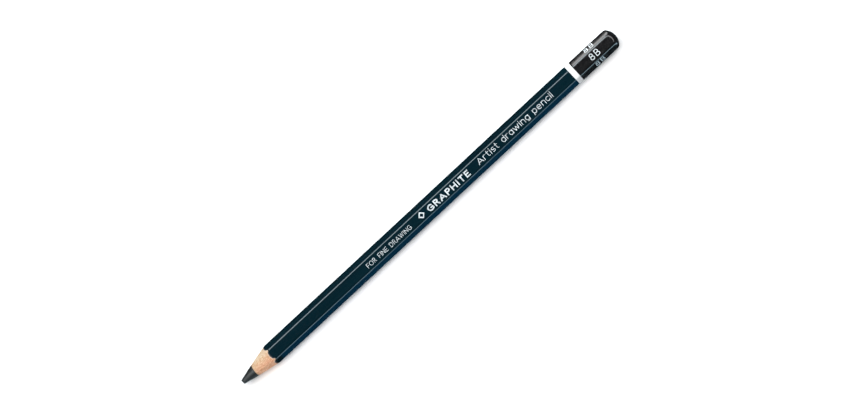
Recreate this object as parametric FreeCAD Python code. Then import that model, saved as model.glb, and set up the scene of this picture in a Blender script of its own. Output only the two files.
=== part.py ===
import FreeCAD, Part
import os
import math

# A wood-cased graphite drawing pencil with a hexagonal barrel, lying on one flat.
#
# It is built up the way a factory makes it. A graphite core is glued into the grooves of
# two wood slats. The sandwich is shaped to a hexagon, primed and lacquered. Its back end
# is rounded, then dipped in white and again in black, so that a white ring stays visible.
# The front is sanded to a point, which trims every layer and scallops the lacquer's edge.
# Last, silver foil lettering is pressed into the flats.
#
# Frame: millimetres, X along the pencil with the point towards -X, Z up, and the origin
# under the middle of the pencil, on the surface that it lies on.

V = FreeCAD.Vector

# Driving dimensions, in millimetres
LENGTH = 175.0
ACROSS_FLATS = 7.0            # over the blue lacquer
CORNER_RADIUS = 0.9           # of the lacquered barrel, which makes it 7.8 across corners
PRIMER = 0.04                 # thickness of the pale ground coat
LACQUER = 0.07                # thickness of the blue colour coats
RING_COAT = 0.02              # thickness of the white dip
CAP_COAT = 0.03               # thickness of the black dip over it
RING_START = 154.6            # places along the pencil are measured from its point
CAP_START = 156.55
END_SPHERE = 5.1              # radius of the rounded back end
END_SHOULDER = 1.7            # radius between the rounded end and the barrel's corners

CORE_RADIUS = 2.25
CORE_LOW = 0.12               # the core lies this far below the barrel's axis
CORE_SIDE = 0.10              # and this far towards -Y
GLUE = 0.03                   # thickness of the film between slats and around the core

# The factory point
NOSE_RADIUS = 0.83            # of the graphite cone where it would meet the blunt nose
NOSE_ROUND = 0.35             # rounding of the blunt nose
CORE_SLOPE = 0.235            # rise of the graphite cone per millimetre along the pencil
FLAT_SLOPE = 0.1735           # rise of the sanded wood in line with the flats
CORNER_SLOPE = 0.2075         # and in line with the corners
POINT_END = 16.0              # the sanding tool reaches no further than this
POINT_SKEW = 1.07             # tilt of the point's axis towards -Y, in degrees
SKEW_PIVOT = 14.0             # where the tilted axis crosses the barrel's

# The foil lettering
FOIL = 0.01                   # thickness, pressed flush with the lacquer
FOIL_LINES = {                # text, start, end, baseline's place, height, stroke, widening
    "foil_small_line": ("FOR FINE DRAWING", 58.3, 78.7, -1.14, 1.7, 0.15, 1.0),
    "foil_bold_line": ("GRAPHITE", 86.9, 106.1, -1.38, 2.34, 0.46, 1.4),
    "foil_light_line": ("Artist drawing pencil", 110.4, 145.1, -1.08, 2.26, 0.22, 1.3),
}
GRADE_LINE = ("8B", 163.1, 167.2, -1.22, 2.44, 0.27, 1.2)
DIAMOND_MIDDLE = 84.0
DIAMOND_HALF = 1.35
DIAMOND_STROKE = 0.4
SPACE_WIDTH = 0.42            # of the cap height
ARC_STEP = 15                 # degrees of a lettering curve that one straight side spans
MITRE_LIMIT = 1.5             # sharper turns of a stroke are cut off square

FACES = 6
TURN = 360 / FACES
COS_HALF = math.cos(math.radians(TURN / 2))
TAN_HALF = math.tan(math.radians(TURN / 2))
DIPS = RING_COAT + CAP_COAT
AXIS_HEIGHT = ACROSS_FLATS / 2 + DIPS
CORNER_REACH = (ACROSS_FLATS / 2 - CORNER_RADIUS) / COS_HALF + CORNER_RADIUS
TIP = -LENGTH / 2
BEYOND = 5.0                  # how far cutting shapes run past what they cut
SPAN = LENGTH + 2 * BEYOND
WIDE = 4 * CORNER_REACH       # wider than the pencil at any turn

# Single-line letters, in cap heights from the baseline: width, then strokes. A stroke is
# points (x, y) and arcs (middle x, middle y, radius x, radius y, from, to) in degrees.
X_HIGH = 0.74
STEM = [(0, 0), (0, 1)]
BOWL = [(0.26, X_HIGH / 2, 0.26, X_HIGH / 2, 0, 360)]
LETTERS = {
    "A": (0.76, [[(0, 0), (0.38, 1), (0.76, 0)], [(0.22, 0.3), (0.54, 0.3)]]),
    "B": (0.54, [
        [(0, 0), (0, 0.52), (0.28, 0.26, 0.26, 0.26, 90, -90), (0, 0)],
        [(0, 0.52), (0, 1), (0.25, 0.76, 0.23, 0.24, 90, -90), (0, 0.52)],
    ]),
    "D": (0.66, [[(0, 0), (0, 1), (0.2, 0.5, 0.46, 0.5, 90, -90), (0, 0)]]),
    "E": (0.50, [[(0.5, 1), (0, 1), (0, 0), (0.5, 0)], [(0, 0.52), (0.44, 0.52)]]),
    "F": (0.48, [[(0.48, 1), (0, 1), (0, 0)], [(0, 0.5), (0.42, 0.5)]]),
    "G": (0.74, [[(0.4, 0.5, 0.4, 0.5, 48, 300), (0.74, 0.12), (0.74, 0.46), (0.46, 0.46)]]),
    "H": (0.64, [STEM, [(0.64, 0), (0.64, 1)], [(0, 0.52), (0.64, 0.52)]]),
    "I": (0.00, [STEM]),
    "N": (0.66, [[(0, 0), (0, 1), (0.66, 0), (0.66, 1)]]),
    "O": (0.84, [[(0.42, 0.5, 0.42, 0.5, 0, 360)]]),
    "P": (0.52, [STEM, [(0, 1), (0.26, 0.74, 0.26, 0.26, 90, -90), (0, 0.48)]]),
    "R": (0.56, [
        STEM,
        [(0, 1), (0.26, 0.75, 0.24, 0.25, 90, -90), (0, 0.5)],
        [(0.26, 0.5), (0.56, 0)],
    ]),
    "T": (0.64, [[(0, 1), (0.64, 1)], [(0.32, 1), (0.32, 0)]]),
    "W": (1.00, [[(0, 1), (0.25, 0), (0.5, 0.95), (0.75, 0), (1, 1)]]),
    "8": (0.54, [[(0.27, 0.76, 0.22, 0.24, 0, 360)], [(0.27, 0.27, 0.27, 0.27, 0, 360)]]),
    "a": (0.52, [BOWL, [(0.52, 0), (0.52, X_HIGH)]]),
    "c": (0.46, [[(0.28, X_HIGH / 2, 0.28, X_HIGH / 2, 50, 310)]]),
    "d": (0.52, [BOWL, [(0.52, 0), (0.52, 1.08)]]),
    "e": (0.55, [[(0.28, X_HIGH / 2, 0.27, X_HIGH / 2, 0, 308)], [(0.02, 0.37), (0.55, 0.37)]]),
    "g": (0.52, [BOWL, [(0.52, X_HIGH), (0.27, -0.02, 0.25, 0.18, 0, -130)]]),
    "i": (0.00, [[(0, 0), (0, X_HIGH)], [(0, 0.99), (0, 1.01)]]),
    "l": (0.00, [[(0, 0), (0, 1.08)]]),
    "n": (0.50, [[(0, 0), (0, X_HIGH)], [(0.25, 0.44, 0.25, 0.3, 180, 0), (0.5, 0)]]),
    "p": (0.52, [BOWL, [(0, -0.2), (0, X_HIGH)]]),
    "r": (0.32, [[(0, 0), (0, X_HIGH)], [(0.26, 0.44, 0.26, 0.3, 180, 78)]]),
    "s": (0.42, [[(0.21, 0.55, 0.2, 0.19, 45, 270), (0.21, 0.18, 0.21, 0.18, 90, -135)]]),
    "t": (0.34, [[(0.12, 0.98), (0.28, 0.16, 0.16, 0.16, 180, 275)], [(0, 0.74), (0.32, 0.74)]]),
    "w": (0.80, [[(0, X_HIGH), (0.2, 0), (0.4, 0.7), (0.6, 0), (0.8, X_HIGH)]]),
}


def at(x, angle, radius):
    """A place round the barrel's axis. Angle 0 is up, and 90 is towards +Y."""
    a = math.radians(angle)
    return V(TIP + x, radius * math.sin(a), AXIS_HEIGHT + radius * math.cos(a))


def line(start, stop):
    return Part.LineSegment(start, stop).toShape()


def arc(start, middle, stop):
    return Part.Arc(start, middle, stop).toShape()


def rod(radius, low=0.0, side=0.0):
    """A round bar longer than the pencil."""
    return Part.makeCylinder(radius, SPAN, V(TIP - BEYOND, -side, AXIS_HEIGHT - low), V(1, 0, 0))


def behind(x):
    """All the space behind a plane square to the pencil."""
    return Part.makeBox(LENGTH, WIDE, WIDE, V(TIP + x, -WIDE / 2, -WIDE / 4))


def hexagon(x, apothem, corner):
    """A hexagon's wire with rounded corners, and the angle at which its flats end."""
    half_flat = (apothem - corner) * TAN_HALF
    flat_end = math.degrees(math.atan2(half_flat, apothem))
    end_reach = math.hypot(half_flat, apothem)
    reach = (apothem - corner) / COS_HALF + corner
    edges = []
    for face in range(FACES):
        middle = face * TURN
        stop = at(x, middle + flat_end, end_reach)
        edges.append(line(at(x, middle - flat_end, end_reach), stop))
        next_start = at(x, middle + TURN - flat_end, end_reach)
        edges.append(arc(stop, at(x, middle + TURN / 2, reach), next_start))
    return Part.Wire(edges), flat_end


def circle(x, radius, flat_end):
    """A circle cut into edges that match a hexagon's."""
    edges = []
    for face in range(FACES):
        middle = face * TURN
        stop = at(x, middle + flat_end, radius)
        next_start = at(x, middle + TURN - flat_end, radius)
        edges.append(arc(at(x, middle - flat_end, radius), at(x, middle, radius), stop))
        edges.append(arc(stop, at(x, middle + TURN / 2, radius), next_start))
    return Part.Wire(edges)


def prism(depth):
    """The hexagonal barrel, as deep as this under the black dip's outside."""
    outline, _ = hexagon(-BEYOND, AXIS_HEIGHT - depth, CORNER_RADIUS + DIPS - depth)
    return Part.Face(outline).extrude(V(SPAN, 0, 0))


def turned(edges):
    return Part.Face(Part.Wire(edges)).revolve(V(0, 0, AXIS_HEIGHT), V(1, 0, 0), 360)


def rounded_end(depth):
    """A turned bar whose back end is a low dome with a rounded shoulder."""
    dome = END_SPHERE - depth
    shoulder = END_SHOULDER - depth
    side = CORNER_REACH + DIPS - depth
    dome_x = LENGTH - END_SPHERE
    shoulder_y = side - shoulder
    shoulder_x = math.sqrt((dome - shoulder) ** 2 - shoulder_y ** 2)
    meet = math.atan2(shoulder_y, shoulder_x)
    mid_dome = meet / 2
    mid_shoulder = (meet + math.pi / 2) / 2
    top = at(dome_x + dome, 0, 0)
    on_dome = at(dome_x + dome * math.cos(mid_dome), 0, dome * math.sin(mid_dome))
    meeting = at(dome_x + dome * math.cos(meet), 0, dome * math.sin(meet))
    on_shoulder = at(
        dome_x + shoulder_x + shoulder * math.cos(mid_shoulder),
        0,
        shoulder_y + shoulder * math.sin(mid_shoulder),
    )
    side_end = at(dome_x + shoulder_x, 0, side)
    front = at(-BEYOND, 0, side)
    front_axis = at(-BEYOND, 0, 0)
    return turned([
        arc(top, on_dome, meeting),
        arc(meeting, on_shoulder, side_end),
        line(side_end, front),
        line(front, front_axis),
        line(front_axis, top),
    ])


def sharpened():
    """What the sanding leaves: a blunt graphite cone, a slightly hexagonal wood cone, and
    everything behind them."""
    cone_end = (CORE_RADIUS - NOSE_RADIUS) / CORE_SLOPE
    lean = math.atan(CORE_SLOPE)
    # The nose's rounding touches the flat end and runs smoothly into the cone.
    round_y = NOSE_RADIUS + CORE_SLOPE * NOSE_ROUND - NOSE_ROUND / math.cos(lean)
    half_turn = (math.pi / 2 + lean) / 2
    rim = at(0, 0, round_y)
    on_round = at(
        NOSE_ROUND * (1 - math.cos(half_turn)), 0, round_y + NOSE_ROUND * math.sin(half_turn)
    )
    cone_start = at(
        NOSE_ROUND * (1 - math.sin(lean)), 0, round_y + NOSE_ROUND * math.cos(lean)
    )
    cone_stop = at(cone_end, 0, CORE_RADIUS)
    nose = turned([
        line(at(0, 0, 0), rim),
        arc(rim, on_round, cone_start),
        line(cone_start, cone_stop),
        line(cone_stop, at(cone_end, 0, 0)),
        line(at(cone_end, 0, 0), at(0, 0, 0)),
    ])
    # The pencil rolls on its flats as it is sanded, so the wood keeps a trace of them.
    run = POINT_END - cone_end
    apothem = CORE_RADIUS + FLAT_SLOPE * run
    reach = CORE_RADIUS + CORNER_SLOPE * run
    corner = (apothem / COS_HALF - reach) / (1 / COS_HALF - 1)
    back, flat_end = hexagon(POINT_END, apothem, corner)
    wood_cone = Part.makeLoft([circle(cone_end, CORE_RADIUS, flat_end), back], True, True)
    point = nose.fuse(wood_cone)
    point.rotate(V(TIP + SKEW_PIVOT, 0, AXIS_HEIGHT), V(0, 0, 1), POINT_SKEW)
    return point.fuse(behind(POINT_END - BEYOND / 10))


def casing():
    """The core, slats, glue, coats and dips."""
    end = rounded_end(DIPS)
    kept = sharpened().common(end)
    lacquered = prism(DIPS)
    primed = prism(DIPS + LACQUER)
    shaped = prism(DIPS + LACQUER + PRIMER)
    core = rod(CORE_RADIUS, CORE_LOW, CORE_SIDE)
    groove = rod(CORE_RADIUS + GLUE, CORE_LOW, CORE_SIDE)
    seam = Part.makeBox(SPAN, WIDE, GLUE, V(TIP - BEYOND, -WIDE / 2, AXIS_HEIGHT - GLUE / 2))
    above = V(TIP - BEYOND, -WIDE / 2, AXIS_HEIGHT + GLUE / 2)
    below = V(TIP - BEYOND, -WIDE / 2, AXIS_HEIGHT - GLUE / 2 - WIDE)
    wood = shaped.cut(groove).common(kept)
    under_cap = prism(CAP_COAT).common(rounded_end(CAP_COAT))
    outside = prism(0).common(rounded_end(0))
    return {
        "graphite_core": core.common(kept),
        "upper_slat": wood.common(Part.makeBox(SPAN, WIDE, WIDE, above)),
        "lower_slat": wood.common(Part.makeBox(SPAN, WIDE, WIDE, below)),
        "glue_film": shaped.common(groove.fuse(seam)).cut(core).common(kept),
        "primer_coat": primed.cut(shaped).common(kept),
        "blue_lacquer": lacquered.cut(primed).common(kept),
        "white_dip": under_cap.cut(lacquered.common(end)).common(behind(RING_START)),
        "black_dip": outside.cut(under_cap).common(behind(CAP_START)),
    }


def stroke_points(stroke):
    """A stroke's corners, with its arcs cut into short straight sides."""
    points = []
    for item in stroke:
        if len(item) == 2:
            points.append(item)
            continue
        x, y, wide, high, start, stop = item
        sides = math.ceil(abs(stop - start) / ARC_STEP)
        for i in range(sides + 1):
            a = math.radians(start + (stop - start) * i / sides)
            points.append((x + wide * math.cos(a), y + high * math.sin(a)))
    return points


def unit(start, stop):
    x, y = stop[0] - start[0], stop[1] - start[1]
    size = math.hypot(x, y)
    return x / size, y / size


def beside(points, half, side):
    """The outline on one side of a stroke, half the stroke's width from its middle."""
    outline = []
    for before, here, after in zip(points, points[1:], points[2:]):
        ax, ay = unit(before, here)
        bx, by = unit(here, after)
        mx, my = unit((0, 0), (ax + bx, ay + by))
        mitre = 1 / (ax * mx + ay * my)
        outer = side * (ax * by - ay * bx) < 0
        if outer and mitre > MITRE_LIMIT:
            turns = [(ax, ay), (bx, by)]
        else:
            turns = [(mx * mitre, my * mitre)]
        for tx, ty in turns:
            outline.append((here[0] - side * half * ty, here[1] + side * half * tx))
    return outline


def flat_face(outline, height):
    corners = [V(x, y, height) for x, y in outline]
    return Part.Face(Part.makePolygon(corners + corners[:1]))


def stroke_solid(points, half, top):
    """One stroke of foil. A stroke that ends where it starts is a loop."""
    if math.dist(points[0], points[-1]) < half / BEYOND:
        loop = [points[-2]] + points[:-1] + points[:2]
        rims = [flat_face(beside(loop, half, side), top) for side in (1, -1)]
        rims.sort(key=lambda rim: rim.Area)
        return rims[1].cut(rims[0]).extrude(V(0, 0, -FOIL))
    # Each end runs on by half a stroke, and a false point beyond cuts it off square.
    ux, uy = unit(points[1], points[0])
    vx, vy = unit(points[-2], points[-1])
    start = (points[0][0] + half * ux, points[0][1] + half * uy)
    stop = (points[-1][0] + half * vx, points[-1][1] + half * vy)
    before = (start[0] + ux, start[1] + uy)
    after = (stop[0] + vx, stop[1] + vy)
    path = [before, start] + points[1:-1] + [stop, after]
    outline = beside(path, half, 1) + beside(path, half, -1)[::-1]
    return flat_face(outline, top).extrude(V(0, 0, -FOIL))


def letter_solids(strokes, x0, y0, wide, high, half, top):
    solids = []
    for stroke in strokes:
        points = [(x0 + x * wide, y0 + y * high) for x, y in stroke_points(stroke)]
        solids.append(stroke_solid(points, half, top))
    if len(solids) == 1:
        return solids[0].Solids
    return solids[0].multiFuse(solids[1:]).removeSplitter().Solids


def foil_line(text, start, end, base, height, stroke, widening, top):
    """A line of lettering on the top flat, spaced out to fill its length."""
    high = height - stroke
    wide = high * widening
    half = stroke / 2
    widths = [SPACE_WIDTH * height if c == " " else LETTERS[c][0] * wide + stroke for c in text]
    gap = (end - start - sum(widths)) / (len(text) - 1)
    x = TIP + start + half
    letters = []
    for letter, width in zip(text, widths):
        if letter != " ":
            letters += letter_solids(LETTERS[letter][1], x, base + half, wide, high, half, top)
        x += width + gap
    return Part.makeCompound(letters)


def diamond(top):
    """A plain diamond outline between two of the lines."""
    x = TIP + DIAMOND_MIDDLE
    reach = DIAMOND_HALF - DIAMOND_STROKE / math.sqrt(2)
    corners = [(x + reach, 0), (x, reach), (x - reach, 0), (x, -reach), (x + reach, 0)]
    return stroke_solid(corners, DIAMOND_STROKE / 2, top)


def main():
    os.makedirs("parts", exist_ok=True)
    pieces = casing()

    barrel_top = AXIS_HEIGHT + ACROSS_FLATS / 2
    foils = {name: foil_line(*spec, barrel_top) for name, spec in FOIL_LINES.items()}
    foils["foil_diamond"] = diamond(barrel_top)
    for foil in foils.values():
        pieces["blue_lacquer"] = pieces["blue_lacquer"].cut(foil)

    grade = foil_line(*GRADE_LINE, 2 * AXIS_HEIGHT)
    for face in range(FACES):
        mark = grade.copy()
        mark.rotate(V(0, 0, AXIS_HEIGHT), V(1, 0, 0), -face * TURN)
        foils[f"foil_grade_{face + 1}"] = mark
        pieces["black_dip"] = pieces["black_dip"].cut(mark)

    for name, shape in {**pieces, **foils}.items():
        shape.exportStep(f"parts/{name}.step")
        print(f"{name:16s} solids {len(shape.Solids):3d} volume {shape.Volume:9.3f}")


main()
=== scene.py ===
import math

import bmesh
import bpy
import numpy as np
from mathutils import Euler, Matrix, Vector


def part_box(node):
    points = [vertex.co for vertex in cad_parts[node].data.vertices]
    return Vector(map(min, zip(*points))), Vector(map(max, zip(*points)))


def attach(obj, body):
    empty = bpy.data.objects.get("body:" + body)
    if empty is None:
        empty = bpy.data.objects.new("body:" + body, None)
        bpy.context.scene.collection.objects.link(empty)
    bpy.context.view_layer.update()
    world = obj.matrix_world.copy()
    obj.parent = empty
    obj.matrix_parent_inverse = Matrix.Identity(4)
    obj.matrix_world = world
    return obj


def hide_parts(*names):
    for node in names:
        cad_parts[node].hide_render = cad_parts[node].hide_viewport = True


# The finished look of a hexagonal graphite drawing pencil: its sanded point, glossy dark
# blue barrel, white ring, satin black dipped end and silver foil lettering.
# Lengths are in metres unless a name says otherwise, and angles round the barrel start at
# the top flat and grow towards +Y.

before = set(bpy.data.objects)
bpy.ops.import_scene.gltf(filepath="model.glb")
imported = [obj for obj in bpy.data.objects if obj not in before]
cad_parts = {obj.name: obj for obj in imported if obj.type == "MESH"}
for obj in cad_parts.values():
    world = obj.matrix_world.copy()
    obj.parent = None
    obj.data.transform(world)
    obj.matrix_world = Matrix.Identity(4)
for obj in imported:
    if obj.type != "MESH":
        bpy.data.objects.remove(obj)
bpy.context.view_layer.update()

MM = 0.001

# The sanded point, as the part is made
NOSE_RADIUS = 0.83 * MM
NOSE_ROUND = 0.35 * MM
CORE_SLOPE = 0.235
FLAT_SLOPE = 0.1735
CORNER_SLOPE = 0.2075
POINT_END = 16.0 * MM
POINT_SKEW = math.radians(1.07)
SKEW_PIVOT = 14.0 * MM

# The rounded back end, over the black dip
END_SPHERE = 5.1 * MM
END_SHOULDER = 1.7 * MM
EDGE_SOFTNESS = 0.2 * MM      # how far lacquer rounds the line between a flat and the dome

LETTERING_RELIEF = 0.008 * MM  # how far the foil stands proud of the lacquer
DIP_RAMP = 0.14 * MM          # length over which a dip coat's edge rises
DIP_WAVER = 0.05 * MM         # how far a dip line strays from straight
SCALLOP_WAVER = 0.07 * MM     # how far the sanding strays at the lacquer's edge

FACES = 6
TURN = 2 * math.pi / FACES
COS_HALF = math.cos(TURN / 2)
FLAT_SHARES = (0.0, 0.3, 0.6, 0.85, 0.96)  # columns across half a flat
ARC_COLUMNS = 16              # columns round each corner
WAVER_LOBES = (1, 2, 3, 5, 8, 13, 21)
HALVINGS = 40                 # steps of the search for where the cone leaves a layer
NOSE_STEPS = 9                # rings round the blunt nose
CORE_STEPS = 14               # rings along the graphite cone
WOOD_STEPS = 20               # rings along the wood cone
SEAM_STEPS = 12               # places along the glue line's slanted end
COAT_STEPS = 8                # rings of a coat between its front edge and the long barrel
END_STEPS = 26                # rings down each of the two curves of the rounded end
CUT_STEPS = 60                # finer steps, to find where the rounded end cuts a coat

VIEW_WIDTH = 0.2955
VIEW_TURN = -42.92
VIEW_MIDDLE = (1.06 * MM, 0.555 * MM)
CAMERA_HEIGHT = 2.0
FLOOR_HALF = 3.0
FLOOR_TILES = 8
FLOOR_GAP = 0.02 * MM         # keeps the floor just clear of the lowest flat
LIGHT_DISTANCE = 0.8
CARD_DISTANCE = 8 * MM


def box_of(node):
    low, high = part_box(node)
    return np.array(low), np.array(high)


core_low, core_high = box_of("graphite_core")
lacquer_low, lacquer_high = box_of("blue_lacquer")
primer_low, primer_high = box_of("primer_coat")
slat_low, slat_high = box_of("upper_slat")
_, lower_high = box_of("lower_slat")
ring_low, ring_high = box_of("white_dip")
cap_low, cap_high = box_of("black_dip")

BACK = cap_high[0]
TIP = -BACK
UNDER_DIP = BACK - END_SPHERE / 2  # where the pieces hidden by the dips stop
AXIS = (cap_low[2] + cap_high[2]) / 2
CORE_MIDDLE = (core_low[1:] + core_high[1:]) / 2
CORE_RADIUS = (core_high[1] - core_low[1]) / 2
GLUE = slat_low[2] - lower_high[2]


def hexagon_of(low, high):
    """(apothem, corner radius) of the hexagonal solid that fills this box."""
    apothem = high[2] - AXIS
    reach = (high[1] - low[1]) / 2
    corner = (apothem / COS_HALF - reach) / (1 / COS_HALF - 1)
    return apothem, corner


LACQUER = hexagon_of(lacquer_low, lacquer_high)
PRIMER = hexagon_of(primer_low, primer_high)
WOOD = hexagon_of(slat_low, slat_high)
RING = hexagon_of(ring_low, ring_high)
CAP = hexagon_of(cap_low, cap_high)


def column_angles():
    """Angles round the barrel, close together where the corners bend."""
    apothem, corner = LACQUER
    flat_end = math.atan2((apothem - corner) * math.tan(TURN / 2), apothem)
    half = [share * flat_end for share in FLAT_SHARES]
    half += list(np.linspace(flat_end, TURN / 2, ARC_COLUMNS // 2 + 1))
    sector = [-a for a in half[:0:-1]] + half[:-1]
    return np.concatenate([face * TURN + np.array(sector) for face in range(FACES)])


ANGLES = column_angles()


def hexagon_radius(angles, apothem, corner):
    """Distance from the axis to a rounded hexagon's outline."""
    turn = np.abs((angles + TURN / 2) % TURN - TURN / 2)
    flat_end = math.atan2((apothem - corner) * math.tan(TURN / 2), apothem)
    middle = (apothem - corner) / COS_HALF
    lean = TURN / 2 - turn
    across = np.clip(corner**2 - (middle * np.sin(lean)) ** 2, 0, None)
    arc = middle * np.cos(lean) + np.sqrt(across)
    return np.where(turn <= flat_end, apothem / np.cos(turn), arc)


def waver(angles, size, seed):
    """A small smooth error that differs round the barrel and repeats after a turn."""
    total = sum(np.sin(k * angles + seed * k * k) / k for k in WAVER_LOBES)
    return size * total / 2


# ---------------------------------------------------------------- the sanded point

CONE_END = (CORE_RADIUS - NOSE_RADIUS) / CORE_SLOPE


def cone_radius(along, angles):
    """The sanded surface's radius, round its own axis, that far from the nose."""
    core = NOSE_RADIUS + CORE_SLOPE * along
    full = POINT_END - CONE_END
    share = np.clip(along - CONE_END, 0, None) / full
    apothem = CORE_RADIUS + FLAT_SLOPE * full
    reach = CORE_RADIUS + CORNER_SLOPE * full
    corner = (apothem / COS_HALF - reach) / (1 / COS_HALF - 1)
    wood = CORE_RADIUS + share * (hexagon_radius(angles, apothem, corner) - CORE_RADIUS)
    return np.where(along < CONE_END, core, wood)


def cone_point(along, angles, radius=None):
    """Places on the sanded surface, in the row frame."""
    r = cone_radius(along, angles) if radius is None else radius
    x = along - SKEW_PIVOT
    y = r * np.sin(angles)
    c, s = math.cos(POINT_SKEW), math.sin(POINT_SKEW)
    return np.stack([
        TIP + SKEW_PIVOT + c * x - s * y,
        s * x + c * y,
        AXIS + r * np.cos(angles) + 0 * x,
    ], axis=-1)


def where_cone_leaves(depth_of, angles):
    """How far from the nose the sanded surface passes out through a long solid, whose
    depth_of gives how deep a place lies under its surface."""
    low = np.zeros_like(angles)
    high = np.full_like(angles, POINT_END)
    for _ in range(HALVINGS):
        middle = (low + high) / 2
        inside = depth_of(cone_point(middle, angles)) > 0
        low = np.where(inside, middle, low)
        high = np.where(inside, high, middle)
    return (low + high) / 2


def depth_in_hexagon(shape):
    def depth(places):
        y, z = places[..., 1], places[..., 2] - AXIS
        return hexagon_radius(np.arctan2(y, z), *shape) - np.hypot(y, z)
    return depth


def depth_in_rod(radius):
    def depth(places):
        y, z = places[..., 1] - CORE_MIDDLE[0], places[..., 2] - CORE_MIDDLE[1]
        return radius - np.hypot(y, z)
    return depth


LEAVES = {
    "core": where_cone_leaves(depth_in_rod(CORE_RADIUS), ANGLES),
    "groove": where_cone_leaves(depth_in_rod(CORE_RADIUS + GLUE), ANGLES),
}
for layer, shape in (("wood", WOOD), ("primer", PRIMER), ("lacquer", LACQUER)):
    stray = waver(ANGLES, SCALLOP_WAVER, 0.7)
    LEAVES[layer] = where_cone_leaves(depth_in_hexagon(shape), ANGLES) + stray


def cone_rings(first, last, count):
    """Rings on the sanded surface from one layer's edge to the next."""
    shares = np.linspace(0, 1, count)
    return [cone_point(first + (last - first) * share, ANGLES) for share in shares]


# ---------------------------------------------------------------- the rounded end

def end_profile(shape, count=END_STEPS):
    """(x, radius) down the rounded back end, from its side to its middle."""
    apothem, corner = shape
    depth = CAP[0] - apothem
    dome = END_SPHERE - depth
    shoulder = END_SHOULDER - depth
    side = (apothem - corner) / COS_HALF + corner
    dome_x = BACK - END_SPHERE
    shoulder_y = side - shoulder
    shoulder_x = math.sqrt((dome - shoulder) ** 2 - shoulder_y**2)
    meet = math.atan2(shoulder_y, shoulder_x)
    bend = np.linspace(math.pi / 2, meet, count)
    cap = np.linspace(meet, 0, count)[1:]
    x = np.concatenate([
        dome_x + shoulder_x + shoulder * np.cos(bend), dome_x + dome * np.cos(cap)
    ])
    r = np.concatenate([shoulder_y + shoulder * np.sin(bend), dome * np.sin(cap)])
    return x, r


def soft_least(a, b, soft):
    """The smaller of two lengths, rounded where they cross."""
    h = np.clip(0.5 + 0.5 * (b - a) / soft, 0, 1)
    return b + (a - b) * h - soft * h * (1 - h)


def ring_at(x, radius, angles=ANGLES):
    x = np.broadcast_to(x, angles.shape)
    return np.stack([x, radius * np.sin(angles), AXIS + radius * np.cos(angles)], axis=-1)


def end_rings(shape):
    """Rings down the rounded end of a hexagonal solid, to near its middle."""
    outline = hexagon_radius(ANGLES, *shape)
    rings = []
    for x, radius in zip(*(places[1:-1] for places in end_profile(shape))):
        soft = min(EDGE_SOFTNESS, radius)
        rings.append(ring_at(x, soft_least(outline, radius, soft)))
    return rings


def end_middle(shape):
    """The hindmost place of the rounded end."""
    return end_profile(shape)[0][-1], 0, AXIS


# ---------------------------------------------------------------- mesh making

def add_object(name, vertices, faces, materials, face_slots=None, sharp=40):
    mesh = bpy.data.meshes.new(name)
    mesh.from_pydata([tuple(v) for v in vertices], [], faces)
    for material in materials:
        mesh.materials.append(material)
    if face_slots is not None:
        mesh.polygons.foreach_set("material_index", face_slots)
    mesh.polygons.foreach_set("use_smooth", [True] * len(mesh.polygons))
    shaped = bmesh.new()
    shaped.from_mesh(mesh)
    bmesh.ops.recalc_face_normals(shaped, faces=shaped.faces)
    shaped.to_mesh(mesh)
    shaped.free()
    mesh.set_sharp_from_angle(angle=math.radians(sharp))
    mesh.validate()
    mesh.update()
    obj = bpy.data.objects.new(name, mesh)
    bpy.context.scene.collection.objects.link(obj)
    return obj


class Skin:
    """A surface made of rings, each with the same number of places."""

    def __init__(self):
        self.vertices = []
        self.faces = []
        self.slots = []

    def ring(self, places):
        start = len(self.vertices)
        self.vertices.extend(places)
        return range(start, start + len(places))

    def strip(self, a, b, slot=0, closed=True):
        count = len(a)
        for i in range(count if closed else count - 1):
            j = (i + 1) % count
            self.faces.append((a[i], a[j], b[j], b[i]))
            self.slots.append(slot)

    def rings(self, rings, slot=0, closed=True):
        """Adds rings in a row and joins each to the next. Gives back the first and last."""
        added = [self.ring(places) for places in rings]
        for a, b in zip(added, added[1:]):
            self.strip(a, b, slot, closed)
        return added

    def point(self, ring, place):
        """Closes a ring with triangles that meet at one place."""
        self.vertices.append(place)
        middle = len(self.vertices) - 1
        for i in range(len(ring)):
            j = (i + 1) % len(ring)
            self.faces.append((ring[i], ring[j], middle))
            self.slots.append(0)

    def polygon(self, corners):
        self.faces.append(tuple(corners))
        self.slots.append(0)

    def build(self, name, materials, sharp=40):
        return add_object(name, self.vertices, self.faces, materials, self.slots, sharp)


def moved_to(places, x):
    """The same places slid along the pencil."""
    moved = np.array(places)
    moved[:, 0] = x
    return moved


def spaced(places, x, count):
    """Rings from a first one to a place further along, close together at the start."""
    steps = (np.linspace(0, 1, count) ** 3)[1:]
    rings = []
    for share in steps:
        ring = np.array(places)
        ring[:, 0] += (x - ring[:, 0]) * share
        rings.append(ring)
    return rings


def x_at_end(shape, radius):
    """Where the rounded end cuts off a surface that lies this far from the axis."""
    x, r = end_profile(shape, CUT_STEPS)
    return np.interp(-radius, -r, x)


# ---------------------------------------------------------------- materials

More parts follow.
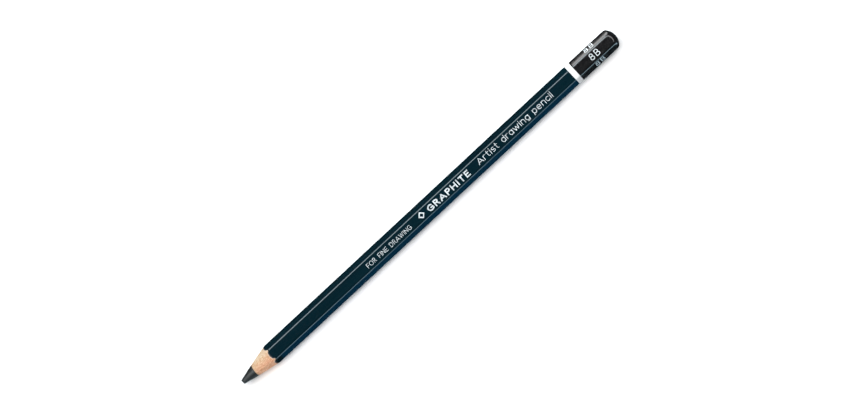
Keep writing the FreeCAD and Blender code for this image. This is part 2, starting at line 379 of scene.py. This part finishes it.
class Shader:
    """A node material under construction."""

    def __init__(self, name, **values):
        self.material = bpy.data.materials.new(name)
        self.material.use_nodes = True
        self.tree = self.material.node_tree
        self.bsdf = self.tree.nodes["Principled BSDF"]
        for key, value in values.items():
            self.set(key.replace("_", " "), value)

    def set(self, socket, value):
        self.bsdf.inputs[socket].default_value = value

    def node(self, kind, **settings):
        node = self.tree.nodes.new(kind)
        for key, value in settings.items():
            setattr(node, key, value)
        return node

    def link(self, output, target):
        self.tree.links.new(output, target)

    def feed(self, output, socket):
        self.link(output, self.bsdf.inputs[socket])

    def place(self, scale=(1, 1, 1)):
        """Object coordinates in millimetres, squeezed or stretched along each axis."""
        coordinates = self.node("ShaderNodeTexCoord")
        mapping = self.node("ShaderNodeMapping")
        mapping.inputs["Scale"].default_value = [s / MM for s in scale]
        self.link(coordinates.outputs["Object"], mapping.inputs["Vector"])
        return mapping.outputs["Vector"]

    def around(self, along_scale, turn_scale):
        """Coordinates that run along the pencil and round its axis, for sanding marks."""
        coordinates = self.node("ShaderNodeTexCoord")
        shift = self.node("ShaderNodeVectorMath", operation="SUBTRACT")
        shift.inputs[1].default_value = (0, 0, AXIS)
        self.link(coordinates.outputs["Object"], shift.inputs[0])
        split = self.node("ShaderNodeSeparateXYZ")
        self.link(shift.outputs[0], split.inputs[0])
        flat = self.node("ShaderNodeCombineXYZ")
        self.link(split.outputs["Y"], flat.inputs["Y"])
        self.link(split.outputs["Z"], flat.inputs["Z"])
        turn = self.node("ShaderNodeVectorMath", operation="NORMALIZE")
        self.link(flat.outputs[0], turn.inputs[0])
        spread = self.node("ShaderNodeVectorMath", operation="SCALE")
        spread.inputs["Scale"].default_value = turn_scale
        self.link(turn.outputs[0], spread.inputs[0])
        length = self.node("ShaderNodeMath", operation="MULTIPLY")
        length.inputs[1].default_value = along_scale / MM
        self.link(split.outputs["X"], length.inputs[0])
        lengthwise = self.node("ShaderNodeCombineXYZ")
        self.link(length.outputs[0], lengthwise.inputs["X"])
        joined = self.node("ShaderNodeVectorMath", operation="ADD")
        self.link(spread.outputs[0], joined.inputs[0])
        self.link(lengthwise.outputs[0], joined.inputs[1])
        return joined.outputs[0]

    def across(self, low_mm, high_mm):
        """How far across the pencil a place is, from 0 at one Y to 1 at another."""
        split = self.node("ShaderNodeSeparateXYZ")
        self.link(self.place(), split.inputs[0])
        share = self.node("ShaderNodeMapRange")
        share.inputs["From Min"].default_value = low_mm
        share.inputs["From Max"].default_value = high_mm
        self.link(split.outputs["Y"], share.inputs["Value"])
        return share.outputs[0]

    def noise(self, vector, scale=1.0, detail=3.0, roughness=0.5, distortion=0.0):
        node = self.node("ShaderNodeTexNoise")
        node.inputs["Scale"].default_value = scale
        node.inputs["Detail"].default_value = detail
        node.inputs["Roughness"].default_value = roughness
        node.inputs["Distortion"].default_value = distortion
        self.link(vector, node.inputs["Vector"])
        return node.outputs["Fac"]

    def ramp(self, value, *stops):
        """Colours or greys by value. Each stop is (place, colour or grey)."""
        node = self.node("ShaderNodeValToRGB")
        elements = node.color_ramp.elements
        while len(elements) < len(stops):
            elements.new(0.5)
        for element, (place, colour) in zip(elements, stops):
            element.position = place
            grey = not isinstance(colour, tuple)
            element.color = (colour,) * 3 + (1,) if grey else colour + (1,)
        self.link(value, node.inputs["Fac"])
        return node.outputs["Color"]

    def mix(self, a, b, share, blend="MIX"):
        """Two colours mixed. Each of the three is an output or a fixed value."""
        node = self.node("ShaderNodeMix", data_type="RGBA", blend_type=blend)
        for socket, value in ((6, a), (7, b), (0, share)):
            if isinstance(value, bpy.types.NodeSocket):
                self.link(value, node.inputs[socket])
            elif isinstance(value, tuple):
                node.inputs[socket].default_value = value + (1,)
            else:
                node.inputs[socket].default_value = value
        return node.outputs[2]

    def bump(self, height, depth_mm, strength=1.0, after=None):
        node = self.node("ShaderNodeBump")
        node.inputs["Distance"].default_value = depth_mm * MM
        node.inputs["Strength"].default_value = strength
        self.link(height, node.inputs["Height"])
        if after is not None:
            self.link(after, node.inputs["Normal"])
        return node.outputs["Normal"]


def graphite():
    """Sanded graphite: dark grey, a soft metal lustre, fine streaks along the cone, and
    painted shade that darkens it towards both sides, most towards -Y.
    """
    s = Shader("graphite", Metallic=0.35)
    streaks = s.noise(s.around(0.18, 26), 1.0, 5, 0.65)
    mottle = s.noise(s.place((0.9, 0.9, 0.9)), 1.0, 3)
    grains = s.noise(s.place((9, 9, 9)), 1.0, 2)
    dark = s.ramp(
        streaks, (0.30, (0.009, 0.010, 0.0105)), (0.50, (0.022, 0.025, 0.026)),
        (0.66, (0.056, 0.062, 0.064)),
    )
    tint = s.ramp(mottle, (0.35, (0.78, 0.84, 0.88)), (0.65, (1.0, 0.98, 0.88)))
    # Painted shade: the lead is darker towards both sides across Y, most towards -Y, the side
    # away from the light.
    painted_side_shade = s.ramp(
        s.across(-2, 2), (0.12, (0.48, 0.45, 0.42)), (0.40, (0.85, 0.90, 0.92)),
        (0.55, (1.0, 1.0, 1.0)), (0.85, (0.80, 0.78, 0.74)),
    )
    # The streaks with the painted shade laid over them.
    streaks_with_painted_shade = s.mix(dark, painted_side_shade, 1.0, "MULTIPLY")
    s.feed(s.mix(streaks_with_painted_shade, tint, 1.0, "MULTIPLY"), "Base Color")
    s.feed(s.ramp(streaks, (0.3, 0.58), (0.7, 0.36)), "Roughness")
    first = s.bump(streaks, 0.03, 0.6)
    s.feed(s.bump(grains, 0.008, 0.5, first), "Normal")
    return s.material


def casing_wood(seed):
    """Bare sanded wood with straight fibres along the pencil, and a painted tint of light and
    shade across it: paler and cooler towards +Y, warmer towards -Y.
    """
    s = Shader(f"casing_wood_{seed}", Roughness=0.62)
    s.set("Specular IOR Level", 0.3)
    s.set("Subsurface Weight", 0.25)
    s.set("Subsurface Radius", (1.0, 0.6, 0.4))
    s.set("Subsurface Scale", 0.0006)
    fibre_place = s.place((0.22, 5.5, 5.5))
    shift = s.node("ShaderNodeVectorMath", operation="ADD")
    shift.inputs[1].default_value = (seed * 3.1, seed * 7.7, seed * 5.3)
    s.link(fibre_place, shift.inputs[0])
    fibres = s.noise(shift.outputs[0], 1.0, 5, 0.62)
    bands = s.noise(s.place((0.03, 0.75, 0.75)), 1.0 + 0.3 * seed, 2, 0.5, 0.4)
    pores = s.noise(s.place((0.9, 13, 13)), 1.0, 2, 0.5)
    pale = s.ramp(
        fibres, (0.30, (0.415, 0.195, 0.093)), (0.48, (0.620, 0.385, 0.235)),
        (0.66, (0.790, 0.600, 0.455)),
    )
    # Painted light and shade, not growth: paler and cooler towards the lit +Y side, warmer and
    # redder towards the shaded -Y side.
    painted_side_tint = s.ramp(
        s.across(-3, 3), (0.10, (1.000, 0.930, 0.920)), (0.30, (0.985, 0.860, 0.840)),
        (0.50, (0.885, 0.810, 0.770)), (0.67, (0.850, 0.880, 0.850)),
        (0.85, (0.845, 0.955, 1.000)),
    )
    tone = s.ramp(bands, (0.35, (0.90, 0.84, 0.78)), (0.62, (1.0, 1.0, 1.0)))
    # The fibre colours with the painted light-and-shade tint laid over them.
    side_tinted = s.mix(pale, painted_side_tint, 1.0, "MULTIPLY")
    colour = s.mix(side_tinted, tone, 1.0, "MULTIPLY")
    pits = s.ramp(pores, (0.27, 0.55), (0.36, 1.0))
    s.feed(s.mix(colour, pits, 1.0, "MULTIPLY"), "Base Color")
    s.feed(s.ramp(fibres, (0.3, 0.74), (0.7, 0.55)), "Roughness")
    first = s.bump(fibres, 0.03, 0.7)
    s.feed(s.bump(pores, 0.015, 0.5, first), "Normal")
    return s.material


def dried_glue():
    s = Shader("wood_glue", Roughness=0.5)
    patches = s.noise(s.place((0.8, 3, 3)), 1.0, 3)
    amber = s.ramp(patches, (0.35, (0.30, 0.19, 0.10)), (0.65, (0.46, 0.31, 0.18)))
    s.feed(amber, "Base Color")
    return s.material


def primer():
    s = Shader("primer", Roughness=0.85)
    chalk = s.noise(s.place((2.5, 6, 6)), 1.0, 3)
    ground = s.ramp(chalk, (0.3, (0.38, 0.27, 0.20)), (0.6, (0.54, 0.42, 0.33)))
    s.feed(ground, "Base Color")
    s.feed(s.bump(chalk, 0.01, 0.5), "Normal")
    return s.material


def blue_lacquer():
    """Deep glossy lacquer that follows the wood's faint waves, with light handling marks."""
    s = Shader("blue_lacquer")
    s.set("Specular IOR Level", 0.5)
    cloud = s.noise(s.place((0.05, 0.5, 0.5)), 1.0, 2)
    colour = s.ramp(
        cloud, (0.35, (0.0001, 0.0088, 0.0140)), (0.65, (0.0003, 0.0108, 0.0170))
    )
    s.feed(colour, "Base Color")
    rubs = s.noise(s.place((1.6, 3.5, 3.5)), 1.0, 4, 0.7)
    s.feed(s.ramp(rubs, (0.4, 0.08), (0.72, 0.16)), "Roughness")
    waves = s.noise(s.place((0.10, 0.55, 0.55)), 1.0, 2)
    peel = s.noise(s.place((1.1, 1.6, 1.6)), 1.0, 2)
    first = s.bump(waves, 0.006, 0.3)
    s.feed(s.bump(peel, 0.002, 0.4, first), "Normal")
    return s.material


def cut_lacquer():
    """The lacquer's sanded edge, dull and scuffed."""
    s = Shader("cut_lacquer", Roughness=0.7)
    scuffs = s.noise(s.place((4, 9, 9)), 1.0, 4, 0.7)
    dull = s.ramp(scuffs, (0.35, (0.002, 0.005, 0.007)), (0.70, (0.012, 0.022, 0.026)))
    s.feed(dull, "Base Color")
    s.feed(s.bump(scuffs, 0.012, 0.6), "Normal")
    return s.material


def white_lacquer():
    s = Shader("white_lacquer")
    cloud = s.noise(s.place((0.8, 0.9, 0.9)), 1.0, 3)
    white = s.ramp(cloud, (0.3, (0.68, 0.68, 0.68)), (0.7, (0.74, 0.74, 0.735)))
    s.feed(white, "Base Color")
    s.feed(s.ramp(cloud, (0.4, 0.22), (0.7, 0.32)), "Roughness")
    s.feed(s.bump(cloud, 0.008, 0.5), "Normal")
    return s.material


def black_lacquer():
    """Satin dipped lacquer with a very fine texture."""
    s = Shader("black_lacquer")
    s.set("Specular IOR Level", 0.7)
    cloud = s.noise(s.place((0.7, 0.9, 0.9)), 1.0, 3)
    black = s.ramp(cloud, (0.3, (0.003, 0.003, 0.0033)), (0.7, (0.005, 0.005, 0.0055)))
    s.feed(black, "Base Color")
    s.feed(s.ramp(cloud, (0.35, 0.12), (0.7, 0.17)), "Roughness")
    grit = s.noise(s.place((7, 7, 7)), 1.0, 2)
    drips = s.noise(s.place((0.25, 0.8, 0.8)), 1.0, 2)
    first = s.bump(drips, 0.02, 0.4)
    s.feed(s.bump(grit, 0.0015, 0.5, first), "Normal")
    return s.material


def silver_foil():
    """Stamped foil: silver pigment with pinholes and patches where it took less well."""
    s = Shader("silver_foil", Metallic=0.5)
    patches = s.noise(s.place((0.7, 1.2, 1.2)), 1.0, 3)
    pinholes = s.noise(s.place((6, 8, 8)), 1.0, 3, 0.7)
    silver = s.ramp(patches, (0.32, (0.36, 0.40, 0.42)), (0.60, (0.60, 0.64, 0.66)))
    holes = s.ramp(pinholes, (0.30, 0.35), (0.40, 1.0))
    s.feed(s.mix(silver, holes, 1.0, "MULTIPLY"), "Base Color")
    s.feed(s.ramp(pinholes, (0.35, 0.55), (0.7, 0.38)), "Roughness")
    s.feed(s.bump(pinholes, 0.004, 0.6), "Normal")
    return s.material


def pale_floor():
    s = Shader("pale_floor", Roughness=0.9)
    s.set("Specular IOR Level", 0.1)
    tone = s.noise(s.place((0.004, 0.004, 0.004)), 1.0, 2)
    s.feed(s.ramp(tone, (0.3, 0.93), (0.7, 0.96)), "Base Color")
    return s.material


# ---------------------------------------------------------------- pieces

def finish_piece(obj, slot, *nodes):
    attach(obj, "root")
    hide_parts(*nodes)
    return obj


def make_core():
    skin = Skin()
    lean = math.atan(CORE_SLOPE)
    round_y = NOSE_RADIUS + CORE_SLOPE * NOSE_ROUND - NOSE_ROUND / math.cos(lean)
    turns = np.linspace(0, math.pi / 2 + lean, NOSE_STEPS)
    rings = [cone_point(0.0, ANGLES, round_y * share) for share in (0.5, 0.85)]
    for turn in turns[:-1]:
        along = NOSE_ROUND * (1 - math.cos(turn))
        rings.append(cone_point(along, ANGLES, round_y + NOSE_ROUND * math.sin(turn)))
    start = NOSE_ROUND * (1 - math.sin(lean)) + 0 * ANGLES
    rings += cone_rings(start, LEAVES["core"], CORE_STEPS)
    rings.append(moved_to(rings[-1], UNDER_DIP))
    added = skin.rings(rings)
    skin.point(added[0], cone_point(0.0, np.zeros(1), 0.0)[0])
    skin.point(added[-1], (UNDER_DIP, *CORE_MIDDLE))
    return finish_piece(skin.build("core", [graphite()]), "graphite", "graphite_core")


def make_slat(name, side, node):
    """Half of the wood casing. side is 1 for the upper slat and -1 for the lower one."""
    facing = side * np.cos(ANGLES) > 1e-9
    start = int(np.argmax(facing & ~np.roll(facing, 1)))
    order = (start + np.arange(-1, facing.sum() + 1)) % len(ANGLES)
    seam = AXIS + side * GLUE / 2

    def half(places):
        kept = np.array(places)[order]
        kept[:, 2] = np.maximum(kept[:, 2], seam) if side > 0 else np.minimum(kept[:, 2], seam)
        kept[[0, -1], 2] = seam
        return kept

    cone = [half(ring) for ring in cone_rings(LEAVES["groove"], LEAVES["wood"], WOOD_STEPS)]
    outer_back = moved_to(cone[-1], UNDER_DIP)
    inner_back = moved_to(cone[0], UNDER_DIP)
    skin = Skin()
    rings = skin.rings(cone + [outer_back, inner_back], closed=False)
    skin.strip(rings[-1], rings[0], closed=False)
    skin.polygon([ring[0] for ring in rings])
    skin.polygon([ring[-1] for ring in rings[::-1]])
    obj = skin.build(name, [casing_wood(side + 2)])
    return finish_piece(obj, "casing_wood", node)


def make_glue():
    """The dried film round the core and between the slats."""
    skin = Skin()
    ring = cone_rings(LEAVES["core"], LEAVES["groove"], 2)
    rings = skin.rings(ring + [moved_to(ring[1], UNDER_DIP), moved_to(ring[0], UNDER_DIP)])
    skin.strip(rings[-1], rings[0])
    for angle in (math.pi / 2, -math.pi / 2):
        column = int(np.argmin(np.abs(np.angle(np.exp(1j * (ANGLES - angle))))))
        inner, outer = LEAVES["groove"][column], LEAVES["wood"][column]
        edge = cone_point(np.linspace(inner, outer, SEAM_STEPS), np.full(SEAM_STEPS, angle))
        low, high = np.array(edge), np.array(edge)
        low[:, 2] = AXIS - GLUE / 2
        high[:, 2] = AXIS + GLUE / 2
        strips = [low, high, moved_to(high, UNDER_DIP), moved_to(low, UNDER_DIP)]
        sides = skin.rings(strips, closed=False)
        skin.strip(sides[-1], sides[0], closed=False)
        skin.polygon([side[0] for side in sides])
        skin.polygon([side[-1] for side in sides[::-1]])
    return finish_piece(skin.build("glue_line", [dried_glue()]), "wood_glue", "glue_film")


def make_coat(name, slot, node, inner, outer, shape, materials, inset=0.0):
    """A coat on the barrel: its sanded front edge, its outside, and its inside."""
    skin = Skin()
    rim = cone_rings(LEAVES[inner], LEAVES[outer], 4)
    front = rim[-1]
    angles = np.arctan2(front[:, 1], front[:, 2] - AXIS)
    radius = np.hypot(front[:, 1], front[:, 2] - AXIS) - inset
    first = ring_at(front[:, 0] + inset, radius, angles)
    outside = [first] + spaced(first, TIP + POINT_END, COAT_STEPS)
    outside.append(ring_at(cap_low[0], radius, angles))
    outside.append(ring_at(x_at_end(shape, radius), radius, angles))
    inside_radius = np.hypot(rim[0][:, 1], rim[0][:, 2] - AXIS)
    inside_angles = np.arctan2(rim[0][:, 1], rim[0][:, 2] - AXIS)
    inside_back = ring_at(x_at_end(shape, inside_radius), inside_radius, inside_angles)
    edge = skin.rings(rim, slot=len(materials) - 1)
    face = skin.rings(outside)
    skin.strip(edge[-1], face[0], slot=len(materials) - 1)
    inside = skin.ring(inside_back)
    skin.strip(face[-1], inside)
    skin.strip(inside, edge[0])
    return finish_piece(skin.build(name, materials, sharp=30), slot, node)


def make_dip(name, slot, node, start_x, under, shape, material, seed):
    """A dip coat: its thin front edge, its outside down to the rounded end's middle, and
    its inside."""
    skin = Skin()
    line = start_x + waver(ANGLES, DIP_WAVER, seed)
    line = line - line.min() + start_x
    low = hexagon_radius(ANGLES, *under)
    high = hexagon_radius(ANGLES, *shape) - LETTERING_RELIEF
    ramp = [
        ring_at(line + share * DIP_RAMP, low + (high - low) * math.sin(share * math.pi / 2))
        for share in (0.0, 0.15, 0.35, 0.6, 0.8, 1.0)
    ]
    inset = (shape[0] - LETTERING_RELIEF, shape[1] - LETTERING_RELIEF)
    end = end_rings(inset)
    middle = [
        ring_at(ramp[-1][:, 0] * (1 - share) + end[0][:, 0] * share, high)
        for share in (0.02, 0.5, 0.9)
    ]
    outside = skin.rings(ramp + middle + end)
    skin.point(outside[-1], end_middle(inset))
    lower = (under[0] - LETTERING_RELIEF, under[1] - LETTERING_RELIEF)
    first = ring_at(line, hexagon_radius(ANGLES, *lower))
    inside = skin.rings([first] + end_rings(lower))
    skin.point(inside[-1], end_middle(lower))
    skin.strip(inside[0], outside[0])
    return finish_piece(skin.build(name, [material]), slot, node)


def set_material(obj, material):
    for slot in obj.material_slots:
        slot.material = material


make_core()
make_slat("slat_upper", 1, "upper_slat")
make_slat("slat_lower", -1, "lower_slat")
make_glue()
make_coat("primer_skin", "primer", "primer_coat", "wood", "primer", PRIMER, [primer()])
make_coat(
    "lacquer_skin", "blue_lacquer", "blue_lacquer", "primer", "lacquer", LACQUER,
    [blue_lacquer(), cut_lacquer()], inset=LETTERING_RELIEF,
)
make_dip(
    "white_ring", "white_lacquer", "white_dip", ring_low[0], LACQUER, RING, white_lacquer(),
    seed=2.1,
)
make_dip(
    "black_cap", "black_lacquer", "black_dip", cap_low[0], RING, CAP, black_lacquer(),
    seed=4.4,
)

foil = silver_foil()
for name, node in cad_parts.items():
    if name.startswith("foil_"):
        set_material(node, foil)


# ---------------------------------------------------------------- floor, light and camera

def make_floor():
    skin = Skin()
    steps = np.linspace(-FLOOR_HALF, FLOOR_HALF, FLOOR_TILES + 1)
    rows = [[(x, y, -FLOOR_GAP) for x in steps] for y in steps]
    skin.rings(rows, closed=False)
    floor = skin.build("floor", [pale_floor()])
    floor.visible_glossy = False


def light_panel(name, middle, away, size, radiance, colour=(1, 1, 1)):
    """A rectangular light that shines back along away."""
    data = bpy.data.lights.new(name, "AREA")
    data.shape = "RECTANGLE"
    data.size, data.size_y = size
    data.energy = radiance * math.pi * size[0] * size[1]
    data.color = colour
    light = bpy.data.objects.new(name, data)
    light.location = middle
    light.rotation_euler = away.to_track_quat("Z", "Y").to_euler()
    light.visible_camera = False
    bpy.context.scene.collection.objects.link(light)


def soft_light(name, azimuth, elevation, size, radiance, colour=(1, 1, 1)):
    """A studio light that faces the pencil. Azimuth 90 is towards +Y."""
    a, e = math.radians(azimuth), math.radians(elevation)
    away = Vector((math.cos(a) * math.cos(e), math.sin(a) * math.cos(e), math.sin(e)))
    light_panel(name, away * LIGHT_DISTANCE, away, size, radiance, colour)


def side_card(name, side, first, last, height, lift, radiance, colour=(1, 1, 1)):
    """A low card beside the pencil, which one side flat mirrors upwards. side is 1 for +Y."""
    away = Vector((0, side * math.sin(2 * TURN), math.cos(2 * TURN)))
    flat = Vector((0, side * math.sin(TURN), math.cos(TURN))) * CAP[0]
    middle = Vector(((first + last) / 2, 0, AXIS)) + flat + away * CARD_DISTANCE
    middle += Vector((0, side * math.cos(TURN), math.sin(TURN))) * lift
    light_panel(name, middle, away, (last - first, height), radiance, colour)


# What the gloss reflects, by angle round the pencil: 0 is overhead and 90 is towards +Y.
# Overhead and to the sides it is dark, so the flats show their own colour. The strip that
# lights the -Y edge is under the horizon, where only reflections see past the floor.
SURROUNDINGS = (
    (-180, (0.03, 0.06, 0.08)),
    (-145, (0.03, 0.06, 0.08)),
    (-132, (0.01, 0.01, 0.01)),
    (-115, (0.01, 0.01, 0.01)),
    (-112, (3.3, 4.8, 5.6)),
    (-91, (3.3, 4.8, 5.6)),
    (-89, (0.06, 0.07, 0.08)),
    (0, (0.04, 0.045, 0.05)),
    (90, (0.10, 0.10, 0.10)),
    (110, (0.05, 0.05, 0.05)),
    (132, (0.01, 0.01, 0.01)),
    (145, (0.03, 0.06, 0.08)),
)
BRIGHTEST = 6.0                    # the world's strength, since a ramp's colours end at 1
BEYOND_ENDS = (0.07, 0.075, 0.08)  # what the gloss reflects from past either end
ENDS_START = 0.45                  # how squarely a direction must face an end to see that
ENDS_FULL = 0.85


def make_world():
    world = bpy.data.worlds.new("studio")
    world.use_nodes = True
    bpy.context.scene.world = world
    tree = world.node_tree
    background = tree.nodes["Background"]
    background.inputs["Strength"].default_value = BRIGHTEST
    coordinates = tree.nodes.new("ShaderNodeTexCoord")
    split = tree.nodes.new("ShaderNodeSeparateXYZ")
    tree.links.new(coordinates.outputs["Generated"], split.inputs[0])
    turn = tree.nodes.new("ShaderNodeMath")
    turn.operation = "ARCTAN2"
    tree.links.new(split.outputs["Y"], turn.inputs[0])
    tree.links.new(split.outputs["Z"], turn.inputs[1])
    share = tree.nodes.new("ShaderNodeMapRange")
    share.inputs["From Min"].default_value = -math.pi
    share.inputs["From Max"].default_value = math.pi
    tree.links.new(turn.outputs[0], share.inputs["Value"])
    ramp = tree.nodes.new("ShaderNodeValToRGB")
    elements = ramp.color_ramp.elements
    while len(elements) < len(SURROUNDINGS):
        elements.new(0.5)
    for element, (angle, colour) in zip(elements, SURROUNDINGS):
        element.position = 0.5 + angle / 360
        element.color = [part / BRIGHTEST for part in colour] + [1]
    tree.links.new(share.outputs[0], ramp.inputs["Fac"])
    lengthwise = tree.nodes.new("ShaderNodeMath")
    lengthwise.operation = "ABSOLUTE"
    tree.links.new(split.outputs["X"], lengthwise.inputs[0])
    past_end = tree.nodes.new("ShaderNodeMapRange")
    past_end.interpolation_type = "SMOOTHSTEP"
    past_end.inputs["From Min"].default_value = ENDS_START
    past_end.inputs["From Max"].default_value = ENDS_FULL
    tree.links.new(lengthwise.outputs[0], past_end.inputs["Value"])
    blend = tree.nodes.new("ShaderNodeMix")
    blend.data_type = "RGBA"
    around, beyond = (blend.inputs[i] for i in (6, 7))
    beyond.default_value = [part / BRIGHTEST for part in BEYOND_ENDS] + [1]
    tree.links.new(ramp.outputs["Color"], around)
    tree.links.new(past_end.outputs[0], blend.inputs[0])
    tree.links.new(blend.outputs[2], background.inputs["Color"])


def make_camera():
    data = bpy.data.cameras.new("camera")
    data.type = "ORTHO"
    data.ortho_scale = VIEW_WIDTH
    data.clip_end = 10
    camera = bpy.data.objects.new("camera", data)
    camera.location = (*VIEW_MIDDLE, CAMERA_HEIGHT)
    camera.rotation_euler = Euler((0, 0, math.radians(VIEW_TURN)))
    bpy.context.scene.collection.objects.link(camera)
    bpy.context.scene.camera = camera


front_edge = TIP + LEAVES["primer"].min()
make_floor()
soft_light("main_front", azimuth=157, elevation=58, size=(0.6, 0.6), radiance=4.4)
soft_light("main_back", azimuth=23, elevation=58, size=(0.6, 0.6), radiance=4.4)
soft_light("fill_front", azimuth=205, elevation=50, size=(0.4, 0.4), radiance=0.7)
soft_light("fill_back", azimuth=-25, elevation=50, size=(0.4, 0.4), radiance=0.7)
soft_light(
    "edge_strip", azimuth=90, elevation=43, size=(0.28, 0.42), radiance=8.5,
    colour=(0.86, 1.0, 1.07),
)
side_card(
    "cap_card", side=1, first=cap_low[0] + 0.5 * MM, last=BACK + 6 * MM, height=14 * MM,
    lift=7.3 * MM, radiance=3.5,
)
side_card(
    "point_card", side=-1, first=TIP + 7 * MM, last=front_edge, height=8 * MM, lift=0,
    radiance=2.0, colour=(1.0, 0.66, 0.45),
)
side_card(
    "barrel_card", side=-1, first=TIP + POINT_END, last=ring_low[0], height=5 * MM, lift=0,
    radiance=0.35, colour=(0.0, 0.40, 1.0),
)
make_world()
make_camera()
bpy.context.scene.view_settings.view_transform = "Standard"
